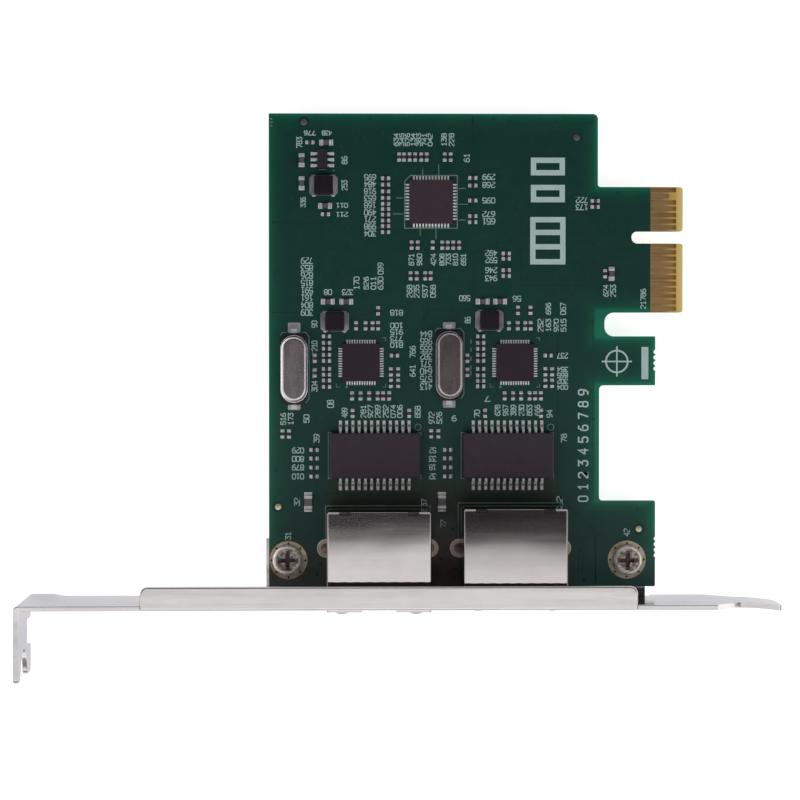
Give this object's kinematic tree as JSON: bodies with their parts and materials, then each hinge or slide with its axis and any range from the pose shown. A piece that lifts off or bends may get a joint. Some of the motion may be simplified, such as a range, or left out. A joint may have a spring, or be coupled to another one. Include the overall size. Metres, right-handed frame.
{
  "type": "network interface card",
  "caption": "Flat circuit board with a one-lane edge connector, network jacks and a folded full-height bracket; it links a computer to cabled networks.",
  "frame": {"origin": "middle of the card's plan at its lowest edge", "axes": "+X from the bracket's screw tab to its tongue, the way the edge contacts point; +Y away from the bracket; +Z out of the component side"},
  "size_m": [0.12, 0.0894, 0.0216],
  "materials": {
    "solder_mask": "green solder mask over glass-epoxy laminate, satin gloss",
    "gold_plate": "thin gold over nickel, satin",
    "land_metal": "plated copper, satin",
    "bracket_steel": "nickel-plated folded steel sheet, satin",
    "screw_steel": "nickel-plated steel, bright",
    "shield_metal": "nickel-plated brass sheet, bright",
    "jack_plastic": "black moulded thermoplastic",
    "contact_gold": "gold-plated spring wire",
    "light_clear": "milky clear moulded lens",
    "package_black": "moulded epoxy, fine matt",
    "tinned_lead": "tin-plated copper, satin",
    "can_nickel": "drawn nickel-silver can, satin",
    "base_plastic": "black insulating plate",
    "ferrite": "dark sintered ferrite",
    "capacitor_ceramic": "brown ceramic",
    "resistor_ceramic": "dark glazed film"
  },
  "bodies": {
    "root": {"circuit_board": "solder_mask", "edge_contacts_component_side": "gold_plate", "edge_contacts_solder_side": "gold_plate", "plated_lands": "land_metal", "mounting_bracket": "bracket_steel", "bracket_screw_left": "screw_steel", "bracket_screw_right": "screw_steel", "port_left_shield": "shield_metal", "port_left_housing": "jack_plastic", "port_left_contacts": "contact_gold", "port_left_light_left": "light_clear", "port_left_light_right": "light_clear", "port_right_shield": "shield_metal", "port_right_housing": "jack_plastic", "port_right_contacts": "contact_gold", "port_right_light_left": "light_clear", "port_right_light_right": "light_clear", "bridge_chip_body": "package_black", "bridge_chip_leads": "tinned_lead", "controller_left_body": "package_black", "controller_left_leads": "tinned_lead", "controller_right_body": "package_black", "controller_right_leads": "tinned_lead", "magnetics_left_body": "package_black", "magnetics_left_leads": "tinned_lead", "magnetics_right_body": "package_black", "magnetics_right_leads": "tinned_lead", "crystal_left_can": "can_nickel", "crystal_left_base": "base_plastic", "crystal_left_leads": "tinned_lead", "crystal_right_can": "can_nickel", "crystal_right_base": "base_plastic", "crystal_right_leads": "tinned_lead", "inductor_supply_core": "ferrite", "inductor_supply_terminals": "tinned_lead", "inductor_left_core": "ferrite", "inductor_left_terminals": "tinned_lead", "inductor_right_core": "ferrite", "inductor_right_terminals": "tinned_lead", "regulator_body": "package_black", "regulator_leads": "tinned_lead", "small_capacitor_bodies": "capacitor_ceramic", "small_resistor_bodies": "resistor_ceramic", "small_chip_terminations": "tinned_lead", "medium_capacitor_bodies": "capacitor_ceramic", "medium_capacitor_terminations": "tinned_lead", "large_capacitor_bodies": "capacitor_ceramic", "large_capacitor_terminations": "tinned_lead"}
  },
  "joints": []
}
